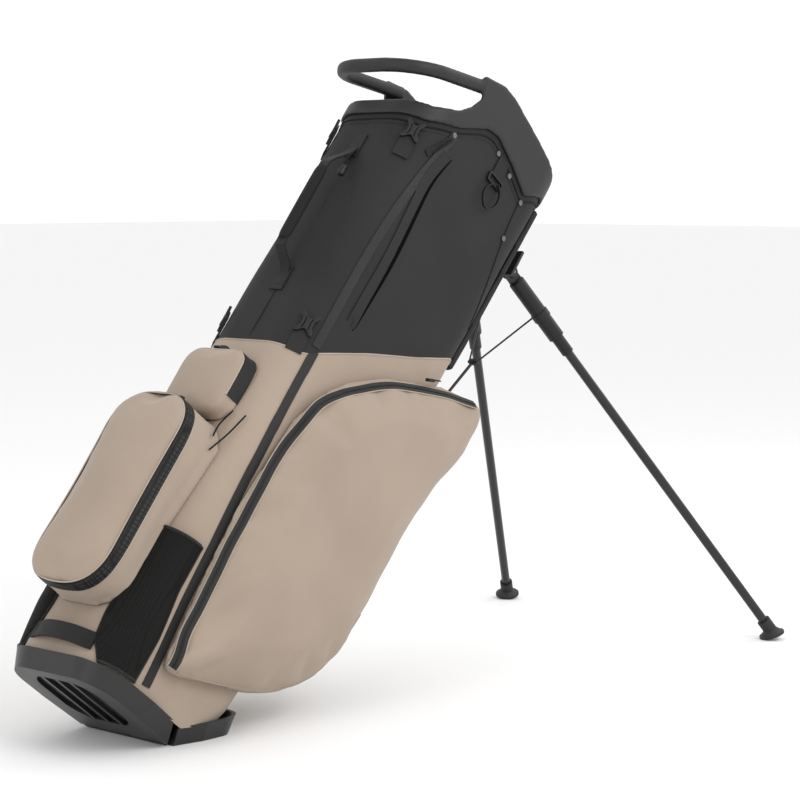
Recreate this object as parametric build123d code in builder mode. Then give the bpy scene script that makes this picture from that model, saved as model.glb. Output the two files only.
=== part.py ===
from build123d import *
import os
from math import atan2, cos, degrees, radians, sin, sqrt

# A golf stand bag leaning back on its two folding legs.
# Frame: +Z up, +X towards the feet, Y = 0 is the bag's plane of symmetry.
# The origin is the middle of the flat sole of the folding base flap.

# ---------------------------------------------------------------- driving sizes
LEAN = 39.0             # lean of the bag from upright, degrees
GAP = 0.4               # clearance between neighbouring pieces
FIT = 0.05              # radial running clearance round a pin
WALL = 3.0              # thickness of the fabric tube with its liner

BASE_HEIGHT = 22.0      # height of the moulded base
BASE_WALL = 4.0
BASE_FLOOR = 8.0
SOLE_LENGTH = 92.0      # crease to the front edge of the flap
SOLE_BACK = 142.0       # crease to the back edge of the base
SOLE_CREASE = 72.0      # half width of the sole at the crease
SOLE_WIDE = 80.0        # half width of the sole where it is widest
SOLE_CORNER = 42.0
FLAP_CORNER = 22.0
FLARE = 9.0             # how far the base's rim stands out past its sole
PIN_R = 1.5             # crease pin
PIN_HEIGHT = 3.4        # crease pin above the ground
KNUCKLE_R = 3.1
CREASE_GAP = 4.2        # crease to the face of the base, and of the flap

COLOUR_LEVEL = 461.0    # where the lower fabric meets the upper fabric
BODY_TOP = 880.0
CUFF_OUT = 4.0          # cuff proud of the fabric
CUFF_IN = 1.0           # cuff inside the fabric's outer face
DIVIDER_LEVEL = 790.0
DIVIDER_THICK = 3.0
DIVIDER_BACK = -42.0    # the two cross panels
DIVIDER_FRONT = 52.0
STAY_R = 2.5

HINGE = (170.0, -36.8, 778.7)   # near leg hinge: out, across, up the bag
FOOT = (947.0, -231.0)          # near foot on the ground, from the crease
FOLDED = (-0.06, 0.0, -1.0)     # a folded leg's direction along the bag
FOOT_R = 17.0
FOOT_FLARE = 9.0
SOCKET_R = 9.0
TUBE_R = 6.0
SLEEVE_R = 10.5
SLEEVE_END = 106.0
COLLAR_R = 8.0
COLLAR_END = 132.0
EYE_R = 8.5
EYE_THICK = 10.0
EAR_THICK = 3.0
LEG_PIN_R = 2.5

YOKE = (220.0, 0.0, 671.0)      # joint of the push rod with its two wires
ROD_R = 2.0
WIRE_R = 1.2
WIRE_SIDE = 6.0                 # each wire's pivot, off the middle plane
CLIP_AT = 70.0                  # wire clip, along the leg from its hinge
CLIP_OFF = 14.0                 # wire's end, off the leg's axis
CLIP_TURN = 105.0               # where round the leg that end lies, degrees

# ---------------------------------------------------------------- frames
CREASE_X = -SOLE_LENGTH / 2
TILT = radians(LEAN)
UP_BAG = Vector(sin(TILT), 0, cos(TILT))
OUT = Vector(cos(TILT), 0, -sin(TILT))
crease = (CREASE_X, 0, 0)
ground = Plane(origin=crease, x_dir=(1, 0, 0), z_dir=(0, 0, 1))
bag = Plane(origin=crease, x_dir=OUT, z_dir=UP_BAG)
side = Plane(origin=crease, x_dir=OUT, z_dir=(0, -1, 0))
back_face = Plane(origin=crease, x_dir=(0, -1, 0), z_dir=OUT * -1)


def spot(u, v, w):
    """A point of the bag: u out towards the legs, v across, w up the bag."""
    return bag.from_local_coords(Vector(u, v, w))


def course(u, v, w):
    """A direction given along the bag's own axes."""
    return OUT * u + Vector(0, v, 0) + UP_BAG * w


def save(piece, name):
    piece.label = name
    export_step(piece, f"parts/{name}.step")


# ---------------------------------------------------------------- outline of the bag
# level up the bag: back, front, half width
BODY = {
    BASE_HEIGHT: (-147.0, 36.0, 85.0),
    72.0: (-147.0, 52.0, 86.0),
    200.0: (-145.0, 84.0, 87.0),
    330.0: (-134.0, 106.0, 85.0),
    COLOUR_LEVEL: (-124.0, 124.0, 83.0),
    640.0: (-121.0, 138.0, 80.0),
    BODY_TOP: (-121.0, 147.0, 80.0),
}
CORNER = 52.0


def body_at(level):
    """Back, front and half width of the bag at any level."""
    levels = sorted(BODY)
    for low, high in zip(levels, levels[1:]):
        if level <= high:
            share = (level - low) / (high - low)
            return [a + (b - a) * share for a, b in zip(BODY[low], BODY[high])]
    return list(BODY[levels[-1]])


def section_at(level, grow):
    """Cross-section of the bag, grown outwards by grow."""
    back, front, half = body_at(level)
    with BuildSketch(bag.offset(level)) as cut:
        with Locations(((back + front) / 2, 0)):
            RectangleRounded(front - back + 2 * grow, 2 * (half + grow), CORNER + grow)
    return cut.sketch.faces()[0]


def body_between(low, high, grow=0.0):
    """A solid of the bag's outline between two levels."""
    levels = [low] + [level for level in sorted(BODY) if low < level < high] + [high]
    with BuildPart() as block:
        loft(sections=[section_at(level, grow) for level in levels], ruled=True)
    return block.part


def low_block(height):
    """Everything ahead of the crease and lower than a height above the ground."""
    with BuildPart() as block:
        with BuildSketch(ground.offset(-60)):
            Rectangle(600, 400)
        extrude(amount=60 + height)
    return block.part


def side_block(points, near, far, corner=0.0):
    """A prism of a u, w outline between two distances across, both from the near side."""
    with BuildPart() as block:
        with BuildSketch(side.offset(near)) as outline:
            with BuildLine():
                Polyline(*points, close=True)
            make_face()
            if corner:
                fillet(outline.vertices(), corner)
        extrude(amount=far - near)
    return block.part


def box_block(low, high):
    """A block along the bag's own axes between two u, v, w corners."""
    u0, v0, w0 = low
    u1, v1, w1 = high
    return side_block([(u0, w0), (u1, w0), (u1, w1), (u0, w1)], -v1, -v0)


# ---------------------------------------------------------------- base, flap and crease pin
def sole_face(plane, length, grow):
    """Outline of one end of the base, from the crease to its rounded end."""
    way = 1 if length > 0 else -1
    wide = SOLE_WIDE + grow
    near_crease = SOLE_CREASE + grow
    end = length + way * grow
    with BuildSketch(plane) as outline:
        with BuildLine():
            Polyline((0, -near_crease), (length * 0.45, -wide), (end, -wide),
                     (end, wide), (length * 0.45, wide), (0, near_crease), close=True)
        make_face()
        tips = [v for v in outline.vertices() if abs(v.X - end) < 0.01]
        fillet(tips, (FLAP_CORNER if length > 0 else SOLE_CORNER) + grow)
    return outline.sketch.faces()[0]


def base_end(plane, length):
    """One end of the base: a tray whose walls flare, cut square at the crease."""
    face = Plane(origin=(CREASE_X + (CREASE_GAP if length > 0 else -CREASE_GAP), 0, 0),
                 z_dir=(1 if length > 0 else -1, 0, 0))
    with BuildPart() as tray:
        loft(sections=[sole_face(plane, length, 0),
                       sole_face(plane.offset(BASE_HEIGHT), length, FLARE)])
        loft(sections=[sole_face(plane.offset(BASE_FLOOR), length, -BASE_WALL),
                       sole_face(plane.offset(BASE_HEIGHT), length, FLARE - BASE_WALL)],
             mode=Mode.SUBTRACT)
        split(bisect_by=face, keep=Keep.TOP)
    return tray.part


def knuckle_block(low, high, way):
    """A crease knuckle with its web, between two distances across."""
    pin = Plane(origin=(CREASE_X, low, PIN_HEIGHT), x_dir=(1, 0, 0), z_dir=(0, 1, 0))
    with BuildPart() as knuckle:
        with BuildSketch(pin):
            Circle(KNUCKLE_R)
            with Locations((way * CREASE_GAP / 2, -1.4 if way < 0 else 0)):
                Rectangle(CREASE_GAP + 1.2, 2 * KNUCKLE_R - 2.4)
        extrude(amount=high - low)
    return knuckle.part


def pin_block(radius, half):
    """A cylinder on the crease axis."""
    with BuildPart() as rod:
        with BuildSketch(Plane(origin=(CREASE_X, -half, PIN_HEIGHT), z_dir=(0, 1, 0))):
            Circle(radius)
        extrude(amount=2 * half)
    return rod.part


KNUCKLES = 5
KNUCKLE_SPAN = 2 * (SOLE_CREASE - 6) / KNUCKLES


def knuckle_places(first):
    """Every second knuckle's two ends, from the near side."""
    edge = -(SOLE_CREASE - 6)
    return [(edge + n * KNUCKLE_SPAN + GAP / 2, edge + (n + 1) * KNUCKLE_SPAN - GAP / 2)
            for n in range(first, KNUCKLES, 2)]


RIB = 5.0

with BuildPart() as base_boot:
    add(base_end(bag, -SOLE_BACK))
    with BuildSketch(bag):
        with Locations((-SOLE_BACK * 0.56, 0)):
            RectangleRounded(SOLE_BACK * 0.66, SOLE_WIDE * 1.24, SOLE_CORNER * 0.7)
        with Locations((-SOLE_BACK * 0.56, 0)):
            Rectangle(SOLE_BACK * 0.66, RIB, mode=Mode.SUBTRACT)
        with Locations((-SOLE_BACK * 0.56, -SOLE_WIDE * 0.3), (-SOLE_BACK * 0.56, SOLE_WIDE * 0.3)):
            Rectangle(SOLE_BACK * 0.66, RIB, mode=Mode.SUBTRACT)
    extrude(amount=BASE_FLOOR / 2, mode=Mode.SUBTRACT)
    for low, high in knuckle_places(0):
        add(knuckle_block(low, high, -1))
    add(pin_block(PIN_R + FIT, SOLE_CREASE + 5), mode=Mode.SUBTRACT)

with BuildPart() as base_flap:
    add(base_end(ground, SOLE_LENGTH))
    for low, high in knuckle_places(1):
        add(knuckle_block(low, high, 1))
    add(pin_block(PIN_R + FIT, SOLE_CREASE + 5), mode=Mode.SUBTRACT)

with BuildPart() as crease_pin:
    add(pin_block(PIN_R, SOLE_CREASE - 6))


# ---------------------------------------------------------------- fabric tube
# lower edge of the cuff in u, w, on which the fabric ends
CUFF_EDGE = [(-140, 795), (-104, 799), (-62, 822), (-20, 856), (2, 862), (44, 852),
             (86, 837), (118, 860), (170, 861)]
above_cuff_edge = side_block(CUFF_EDGE + [(170, 990), (-140, 990)], -130, 130)

with BuildPart() as lower_shell:
    add(body_between(BASE_HEIGHT, COLOUR_LEVEL))
    add(body_between(BASE_HEIGHT, COLOUR_LEVEL, -WALL), mode=Mode.SUBTRACT)
    add(low_block(BASE_HEIGHT + GAP), mode=Mode.SUBTRACT)

with BuildPart() as upper_shell:
    add(body_between(COLOUR_LEVEL, BODY_TOP))
    add(body_between(COLOUR_LEVEL, BODY_TOP, -WALL), mode=Mode.SUBTRACT)
    add(above_cuff_edge, mode=Mode.SUBTRACT)

# ---------------------------------------------------------------- cuff, hood and lift handle
CUFF_TOP = [(170, 872), (151, 876), (147, 886), (128, 897), (65, 910), (-3, 920), (-27, 919),
            (-64, 904), (-56, 888), (-51, 878), (-60, 858), (-74, 840), (-104, 822), (-140, 815)]
HANDLE_ROOT = (-50.0, 0.0, 897.0)
HANDLE_END = (-165.0, 0.0, 836.0)
HANDLE_ARM = 75.0       # each arm, off the middle plane
HANDLE_BEND = 56.0
HANDLE_DEEP = 17.0
HANDLE_WIDE = 15.0

handle_run = spot(*HANDLE_END) - spot(*HANDLE_ROOT)
handle_plane = Plane(origin=spot(*HANDLE_ROOT), x_dir=handle_run, z_dir=handle_run.cross(Vector(0, 1, 0)))
handle_length = handle_run.length

with BuildPart() as top_cuff:
    add(body_between(DIVIDER_LEVEL, BODY_TOP + 60, CUFF_OUT))
    add(body_between(DIVIDER_LEVEL, BODY_TOP + 60, -CUFF_IN), mode=Mode.SUBTRACT)
    add(side_block(CUFF_EDGE + CUFF_TOP, -130, 130), mode=Mode.INTERSECT)
    with BuildLine(handle_plane) as handle_line:
        FilletPolyline((-14, -HANDLE_ARM), (handle_length, -HANDLE_ARM), (handle_length, HANDLE_ARM),
                       (-14, HANDLE_ARM), radius=HANDLE_BEND)
    start = handle_line.line @ 0
    with BuildSketch(Plane(origin=start, x_dir=(0, 1, 0), z_dir=handle_run)) as handle_cut:
        RectangleRounded(HANDLE_WIDE, HANDLE_DEEP, HANDLE_WIDE * 0.42)
    sweep(sections=handle_cut.sketch.faces()[0], path=handle_line.line)

# ---------------------------------------------------------------- dividers and stays
DIVIDER_HEIGHT = 12.0
DIVIDER_RIM = 9.0
DIVIDER_BAR = 8.0
inside = body_between(BASE_HEIGHT + BASE_FLOOR, DIVIDER_LEVEL, -WALL - GAP)
above_base = low_block(BASE_HEIGHT + BASE_FLOOR)

with BuildPart() as divider_frame:
    add(body_between(DIVIDER_LEVEL, DIVIDER_LEVEL + DIVIDER_HEIGHT, -WALL - GAP))
    add(body_between(DIVIDER_LEVEL, DIVIDER_LEVEL + DIVIDER_HEIGHT, -WALL - GAP - DIVIDER_RIM),
        mode=Mode.SUBTRACT)
    with BuildSketch(bag.offset(DIVIDER_LEVEL)) as bars:
        with Locations((DIVIDER_BACK, 0), (DIVIDER_FRONT, 0)):
            Rectangle(DIVIDER_BAR, 2 * (body_at(DIVIDER_LEVEL)[2] - WALL - 4))
        with Locations(((DIVIDER_BACK + DIVIDER_FRONT) / 2, 0)):
            Rectangle(DIVIDER_FRONT - DIVIDER_BACK, DIVIDER_BAR)
    extrude(amount=DIVIDER_HEIGHT)


def cross_divider(place):
    """A full-length divider panel across the bag."""
    with BuildPart() as panel:
        add(box_block((place - DIVIDER_THICK / 2, -130, 0), (place + DIVIDER_THICK / 2, 130, DIVIDER_LEVEL)))
        add(inside, mode=Mode.INTERSECT)
        add(above_base, mode=Mode.SUBTRACT)
    return panel.part


divider_back = cross_divider(DIVIDER_BACK)
divider_front = cross_divider(DIVIDER_FRONT)
with BuildPart() as divider_middle:
    add(box_block((DIVIDER_BACK + DIVIDER_THICK / 2 + GAP, -DIVIDER_THICK / 2, 0),
                  (DIVIDER_FRONT - DIVIDER_THICK / 2 - GAP, DIVIDER_THICK / 2, DIVIDER_LEVEL)))
    add(inside, mode=Mode.INTERSECT)
    add(above_base, mode=Mode.SUBTRACT)


def stay(u, v, low):
    """A stiffening rod standing inside the fabric, from the base to the divider frame."""
    with BuildPart() as rod:
        with BuildSketch(bag.offset(low)):
            with Locations((u, v)):
                Circle(STAY_R)
        extrude(amount=DIVIDER_LEVEL - GAP - low)
    return rod.part


STAY_IN = WALL + STAY_R + GAP
stay_back = stay(body_at(DIVIDER_LEVEL)[0] + STAY_IN, 0, BASE_FLOOR + GAP)
stay_v = body_at(DIVIDER_LEVEL)[2] - STAY_IN
stay_near = stay(0, -stay_v, BASE_HEIGHT + BASE_FLOOR)
stay_far = stay(0, stay_v, BASE_HEIGHT + BASE_FLOOR)

# ---------------------------------------------------------------- hip pad on the leg side
PAD_THICK = 8.0
PAD_HALF = 62.0
PAD_LOW, PAD_HIGH = 600.0, 856.0
with BuildPart() as hip_pad:
    add(body_between(PAD_LOW, PAD_HIGH, GAP + PAD_THICK))
    add(body_between(PAD_LOW, PAD_HIGH, GAP), mode=Mode.SUBTRACT)
    add(box_block((90, -PAD_HALF, PAD_LOW), (200, PAD_HALF, PAD_HIGH)), mode=Mode.INTERSECT)
BRACKET_RISE = 22.0
pad_face = body_at(HINGE[2] + BRACKET_RISE)[1] + GAP + PAD_THICK

# ---------------------------------------------------------------- legs
hinge_near = spot(*HINGE)
FOOT_HEIGHT = 9.0       # leg's end above the ground
foot_spot = Vector(CREASE_X + FOOT[0], FOOT[1], FOOT_HEIGHT)
leg_way = (foot_spot - hinge_near).normalized()
folded_way = course(*FOLDED).normalized()
leg_axis = leg_way.cross(folded_way).normalized()
leg_turn = leg_axis.cross(leg_way)
leg_plane = Plane(origin=hinge_near, x_dir=leg_way, z_dir=leg_axis)
leg_length = (foot_spot - hinge_near).length
along_leg = Plane(origin=hinge_near, x_dir=leg_axis, z_dir=leg_way)

with BuildPart() as leg_sleeve:
    with BuildSketch(leg_plane.offset(-EYE_THICK / 2)):
        Circle(EYE_R)
        with Locations((EYE_R, 0)):
            Rectangle(2 * EYE_R, 2 * EYE_R - 3)
    extrude(amount=EYE_THICK)
    with BuildSketch(along_leg.offset(EYE_R + 4)):
        Circle(SLEEVE_R - 2)
    with BuildSketch(along_leg.offset(EYE_R + 7)):
        Circle(SLEEVE_R)
    loft()
    with BuildSketch(along_leg.offset(EYE_R + 7)):
        Circle(SLEEVE_R)
    extrude(amount=SLEEVE_END - EYE_R - 7)
    with BuildSketch(along_leg.offset(SLEEVE_END - 1)):
        Circle(COLLAR_R)
    extrude(amount=COLLAR_END - SLEEVE_END + 1)
    with BuildSketch(leg_plane.offset(-EYE_THICK)):
        Circle(LEG_PIN_R + FIT)
    extrude(amount=2 * EYE_THICK, mode=Mode.SUBTRACT)
    with BuildSketch(along_leg.offset(SLEEVE_END / 2)):
        Circle(TUBE_R + FIT)
    extrude(amount=COLLAR_END, mode=Mode.SUBTRACT)

TUBE_WALL = 1.2
SOCKET_DEPTH = 16.0
with BuildPart() as leg_tube:
    with BuildSketch(along_leg.offset(SLEEVE_END / 2 + GAP)):
        Circle(TUBE_R)
        Circle(TUBE_R - TUBE_WALL, mode=Mode.SUBTRACT)
    extrude(amount=leg_length - SLEEVE_END / 2 - GAP - 6)

foot_up = (Vector(0, 0, 1) - leg_way).normalized()
foot_tilt = sqrt(1 - foot_up.Z ** 2)
foot_base = Vector(foot_spot.X, foot_spot.Y, FOOT_R * foot_tilt)
foot_plane = Plane(origin=foot_base, z_dir=foot_up)
with BuildPart() as leg_foot:
    with BuildSketch(foot_plane):
        Circle(FOOT_R)
    extrude(amount=2.5)
    with BuildSketch(foot_plane.offset(2.5)):
        Circle(FOOT_R - 1.5)
    with BuildSketch(foot_plane.offset(FOOT_FLARE)):
        Circle(SOCKET_R)
    loft()
    with BuildSketch(along_leg.offset(leg_length - SOCKET_DEPTH - 6)):
        Circle(SOCKET_R)
    extrude(amount=SOCKET_DEPTH + 4)
    with BuildSketch(along_leg.offset(leg_length - SOCKET_DEPTH - 10)):
        Circle(TUBE_R + FIT)
    extrude(amount=SOCKET_DEPTH + 4, mode=Mode.SUBTRACT)

with BuildPart() as leg_clip:
    with BuildSketch(along_leg.offset(CLIP_AT - 5)):
        Circle(SLEEVE_R + 1.3)
        Circle(SLEEVE_R + FIT, mode=Mode.SUBTRACT)
    extrude(amount=10)

pin_half = EYE_THICK / 2 + GAP + EAR_THICK + 1.5
with BuildPart() as hinge_pins:
    with BuildSketch(leg_plane.offset(-pin_half)):
        Circle(LEG_PIN_R)
    extrude(amount=2 * pin_half)
    mirror(about=Plane.XZ)

BRACKET_THICK = 4.0
BRACKET_HALF = 58.0
with BuildPart() as leg_bracket:
    add(box_block((pad_face + GAP, -BRACKET_HALF, HINGE[2] - 16),
                  (pad_face + GAP + BRACKET_THICK, BRACKET_HALF, HINGE[2] + BRACKET_RISE)))
    to_bag = leg_plane.to_local_coords(hinge_near - OUT * (HINGE[0] - pad_face - GAP - 1))
    for low in (-EYE_THICK / 2 - GAP - EAR_THICK, EYE_THICK / 2 + GAP):
        with BuildSketch(leg_plane.offset(low)):
            with Locations((to_bag.X / 2, to_bag.Y / 2)):
                SlotCenterToCenter(sqrt(to_bag.X ** 2 + to_bag.Y ** 2), 2 * EYE_R - 3,
                                   rotation=degrees(atan2(to_bag.Y, to_bag.X)))
        extrude(amount=EAR_THICK)
    add(box_block((pad_face - 40, -90, HINGE[2] - 60), (pad_face + GAP, 90, HINGE[2] + 60)),
        mode=Mode.SUBTRACT)
    mirror(about=Plane.XZ)
    with BuildSketch(leg_plane.offset(-pin_half - 1)):
        Circle(LEG_PIN_R + FIT)
    extrude(amount=2 * pin_half + 2, mode=Mode.SUBTRACT)
    far_pin = leg_plane.offset(-pin_half - 1)
    with BuildSketch(Plane(origin=Vector(far_pin.origin.X, -far_pin.origin.Y, far_pin.origin.Z),
                           z_dir=Vector(leg_axis.X, -leg_axis.Y, leg_axis.Z))):
        Circle(LEG_PIN_R + FIT)
    extrude(amount=2 * pin_half + 2, mode=Mode.SUBTRACT)

# ---------------------------------------------------------------- push rod, yoke and wires
CLEVIS_OUT = 7.0        # clevis pin ahead of the flap's rim
CLEVIS_HEIGHT = 19.0
ROD_EYE_R = 4.0
ROD_EYE_THICK = 6.0
CLEVIS_EAR = 3.0
CLEVIS_PIN_R = 1.5
YOKE_R = 4.5
YOKE_HALF = 3.2
clevis_spot = Vector(CREASE_X + SOLE_LENGTH + FLARE + CLEVIS_OUT, 0, CLEVIS_HEIGHT)
yoke_spot = spot(*YOKE)
rod_way = (yoke_spot - clevis_spot).normalized()
rod_length = (yoke_spot - clevis_spot).length
clevis_plane = Plane(origin=clevis_spot, x_dir=(1, 0, 0), z_dir=(0, -1, 0))

with BuildPart() as rod_clevis:
    for low in (-ROD_EYE_THICK / 2 - GAP - CLEVIS_EAR, ROD_EYE_THICK / 2 + GAP):
        with BuildSketch(clevis_plane.offset(low)):
            Circle(ROD_EYE_R)
            with Locations((-CLEVIS_OUT / 2 + 0.5, -3)):
                Rectangle(CLEVIS_OUT - 2.2, 7)
        extrude(amount=CLEVIS_EAR)
    with BuildSketch(clevis_plane.offset(-ROD_EYE_THICK)):
        with Locations((-CLEVIS_OUT + 1.9, -4)):
            Rectangle(2.0, 9)
    extrude(amount=2 * ROD_EYE_THICK)
    with BuildSketch(clevis_plane.offset(-10)):
        Circle(CLEVIS_PIN_R + FIT)
    extrude(amount=20, mode=Mode.SUBTRACT)

with BuildPart() as clevis_pin:
    with BuildSketch(clevis_plane.offset(-ROD_EYE_THICK / 2 - GAP - CLEVIS_EAR - 1)):
        Circle(CLEVIS_PIN_R)
    extrude(amount=ROD_EYE_THICK + 2 * GAP + 2 * CLEVIS_EAR + 2)

with BuildPart() as push_rod:
    with BuildSketch(Plane(origin=clevis_spot, z_dir=rod_way)):
        Circle(ROD_R)
    extrude(amount=rod_length - YOKE_R)
    with BuildSketch(clevis_plane.offset(-ROD_EYE_THICK / 2)):
        Circle(ROD_EYE_R)
    extrude(amount=ROD_EYE_THICK)
    with BuildSketch(clevis_plane.offset(-ROD_EYE_THICK)):
        Circle(CLEVIS_PIN_R + FIT)
    extrude(amount=2 * ROD_EYE_THICK, mode=Mode.SUBTRACT)

with BuildPart() as rod_yoke:
    with BuildSketch(Plane(origin=yoke_spot, z_dir=(0, -1, 0)).offset(-YOKE_HALF)):
        Circle(YOKE_R)
    extrude(amount=2 * YOKE_HALF)

turn = radians(CLIP_TURN)
wire_start = yoke_spot + Vector(0, -WIRE_SIDE, 0)
wire_end = (hinge_near + leg_way * CLIP_AT
            + (leg_turn * cos(turn) + leg_axis * sin(turn)) * CLIP_OFF)
wire_way = (wire_end - wire_start).normalized()
wire_length = (wire_end - wire_start).length
with BuildPart() as wire:
    with BuildSketch(Plane(origin=wire_start, z_dir=wire_way)):
        Circle(WIRE_R)
    extrude(amount=wire_length)
    with Locations(wire_start):
        Sphere(2.2)

# ---------------------------------------------------------------- pockets
def clear_of_body(low, high):
    """The bag's own outline with clearance, to be cut from a pocket."""
    return body_between(low, high, GAP)


POCKET_OUT = 118.0      # apparel pocket's outer face, off the middle plane
POCKET_IN = 66.0        # how far it wraps round the leg side
APPAREL = [(-88, 50), (-99, 250), (-88, 385), (-52, 452), (10, 508), (100, 556), (168, 580),
           (184, 566), (184, 500), (168, 448), (156, 385), (154, 300), (150, 215), (128, 162),
           (92, 122), (50, 97), (-4, 74), (-60, 52)]
APPAREL_STEP = 14.0

with BuildPart() as apparel_pocket:
    add(side_block(APPAREL, POCKET_IN, POCKET_OUT - APPAREL_STEP))
    with BuildSketch(side.offset(POCKET_OUT - APPAREL_STEP)) as crown:
        with BuildLine():
            Polyline(*APPAREL, close=True)
        make_face()
        offset(amount=-APPAREL_STEP)
    extrude(amount=APPAREL_STEP)
    add(clear_of_body(BASE_HEIGHT, 640), mode=Mode.SUBTRACT)
    add(low_block(BASE_HEIGHT + 2), mode=Mode.SUBTRACT)

BALL_HALF = 62.0
BALL_LOW, BALL_HIGH = 82.0, 333.0
BALL_OUT = 203.0
BALL_CORNER = 42.0
with BuildPart() as ball_pocket:
    with BuildSketch(back_face.offset(120)):
        with Locations((0, (BALL_LOW + BALL_HIGH) / 2)):
            RectangleRounded(2 * BALL_HALF, BALL_HIGH - BALL_LOW, BALL_CORNER)
    extrude(amount=BALL_OUT - 120)
    fillet(ball_pocket.faces().sort_by(Axis((0, 0, 0), tuple(OUT * -1)))[-1].edges(), 12)
    add(clear_of_body(BASE_HEIGHT, 400), mode=Mode.SUBTRACT)

POUCH_HALF = 50.0
POUCH_LOW, POUCH_HIGH = BALL_HIGH + 2, 424.0
POUCH_OUT = 158.0
with BuildPart() as accessory_pocket:
    with BuildSketch(back_face.offset(110)):
        with Locations((0, (POUCH_LOW + POUCH_HIGH) / 2)):
            RectangleRounded(2 * POUCH_HALF, POUCH_HIGH - POUCH_LOW, 22)
    extrude(amount=POUCH_OUT - 110)
    fillet(accessory_pocket.faces().sort_by(Axis((0, 0, 0), tuple(OUT * -1)))[-1].edges(), 8)
    add(clear_of_body(300, 470), mode=Mode.SUBTRACT)

SLEEVE_OUT = 11.0       # mesh sleeve proud of the body
MESH_THICK = 2.4
MESH_LOW, MESH_HIGH = 26.0, 190.0
MESH_BACK, MESH_FRONT = -158.0, -98.0
mesh_edge = BALL_HALF + 1.2
with BuildPart() as mesh_room:
    add(body_between(MESH_LOW, MESH_HIGH + 20, SLEEVE_OUT - MESH_THICK))
    add(box_block((MESH_BACK, -130, MESH_LOW + MESH_THICK),
                  (MESH_FRONT - MESH_THICK, -mesh_edge - MESH_THICK, MESH_HIGH + 20)),
        mode=Mode.INTERSECT)
with BuildPart() as mesh_sleeve:
    add(body_between(MESH_LOW, MESH_HIGH, SLEEVE_OUT))
    add(box_block((MESH_BACK, -130, MESH_LOW), (MESH_FRONT, -mesh_edge, MESH_HIGH)), mode=Mode.INTERSECT)
    add(mesh_room.part, mode=Mode.SUBTRACT)
    add(body_between(BASE_HEIGHT, 300, GAP), mode=Mode.SUBTRACT)

# ---------------------------------------------------------------- carry handle, loops and clips
BACK = body_at(700)[0] - GAP
STRAP_HALF = 7.5
STRAP_THICK = 2.4
LOW_BACK = body_at(545)[0] - GAP
GRIP_OUT = 150.0
GRIP_LOW, GRIP_HIGH = 583.0, 690.0
GRIP_THICK = 11.0
GRIP_HALF = 8.5
strap_line = [(BACK - 0.1, 752), (BACK - 0.1, 733), (-GRIP_OUT, GRIP_HIGH + 6), (-GRIP_OUT, GRIP_LOW - 6),
              (LOW_BACK - 0.1, 566), (LOW_BACK - 0.1, 548)]
with BuildPart() as handle_strap:
    with BuildSketch(side.offset(-STRAP_HALF)):
        with BuildLine():
            Polyline(*strap_line, *[(u - STRAP_THICK, w) for u, w in reversed(strap_line)], close=True)
        make_face()
    extrude(amount=2 * STRAP_HALF)
with BuildPart() as handle_grip:
    middle = (-GRIP_OUT - STRAP_THICK / 2, (GRIP_LOW + GRIP_HIGH) / 2)
    with BuildSketch(side.offset(-GRIP_HALF)):
        with Locations(middle):
            RectangleRounded(GRIP_THICK, GRIP_HIGH - GRIP_LOW, 5)
    extrude(amount=2 * GRIP_HALF)
    with BuildSketch(side.offset(-STRAP_HALF - FIT)):
        with Locations(middle):
            Rectangle(STRAP_THICK + 2 * FIT, GRIP_HIGH - GRIP_LOW + 2)
    extrude(amount=2 * STRAP_HALF + 2 * FIT, mode=Mode.SUBTRACT)

LOOP_OUT = 14.0
LOOP_HALF = 50.0
LOOP_LOW, LOOP_TALL = 34.0, 20.0
low_back = BODY[72.0][0] - GAP
with BuildPart() as grab_loop:
    with BuildSketch(bag.offset(LOOP_LOW)):
        with BuildLine():
            outer = ThreePointArc((low_back, -LOOP_HALF), (low_back - LOOP_OUT, 0), (low_back, LOOP_HALF))
            inner = ThreePointArc((low_back, LOOP_HALF - 6), (low_back - LOOP_OUT + STRAP_THICK, 0),
                                  (low_back, -LOOP_HALF + 6))
            Line(outer @ 1, inner @ 0)
            Line(inner @ 1, outer @ 0)
        make_face()
    extrude(amount=LOOP_TALL)
    add(body_between(BASE_HEIGHT, 100, GAP), mode=Mode.SUBTRACT)


def corner_plane(turn_deg, level, lift):
    """A plane against the back corner of the near side, facing out."""
    back, front, half = body_at(level)
    a = radians(turn_deg)
    centre = (back + CORNER, -half + CORNER)
    reach = CORNER + lift
    return Plane(origin=spot(centre[0] - reach * cos(a), centre[1] - reach * sin(a), level),
                 x_dir=course(sin(a), -cos(a), 0), z_dir=course(-cos(a), -sin(a), 0))


CLIP_ARM = 34.0
CLIP_BAR = 7.0
CLIP_THICK = 4.0
CLIP_CORNER = 42.0      # how far round the back corner the clips sit


def strap_clip(level):
    """Quick-release clip for a shoulder strap: an X of two slots on a back plate."""
    with BuildPart() as clip:
        with BuildSketch(corner_plane(CLIP_CORNER, level, 2.85)):
            for turn_deg in (52, -52):
                SlotOverall(CLIP_ARM, CLIP_BAR, rotation=turn_deg)
            Rectangle(CLIP_BAR * 1.4, CLIP_BAR * 1.8)
        extrude(amount=CLIP_THICK)
    return clip.part


def clip_tab(level):
    """Webbing tab that carries a clip."""
    with BuildPart() as tab:
        with BuildSketch(corner_plane(CLIP_CORNER, level - 15, 0.85)):
            Rectangle(20, 44)
        extrude(amount=1.5)
    return tab.part


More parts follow.
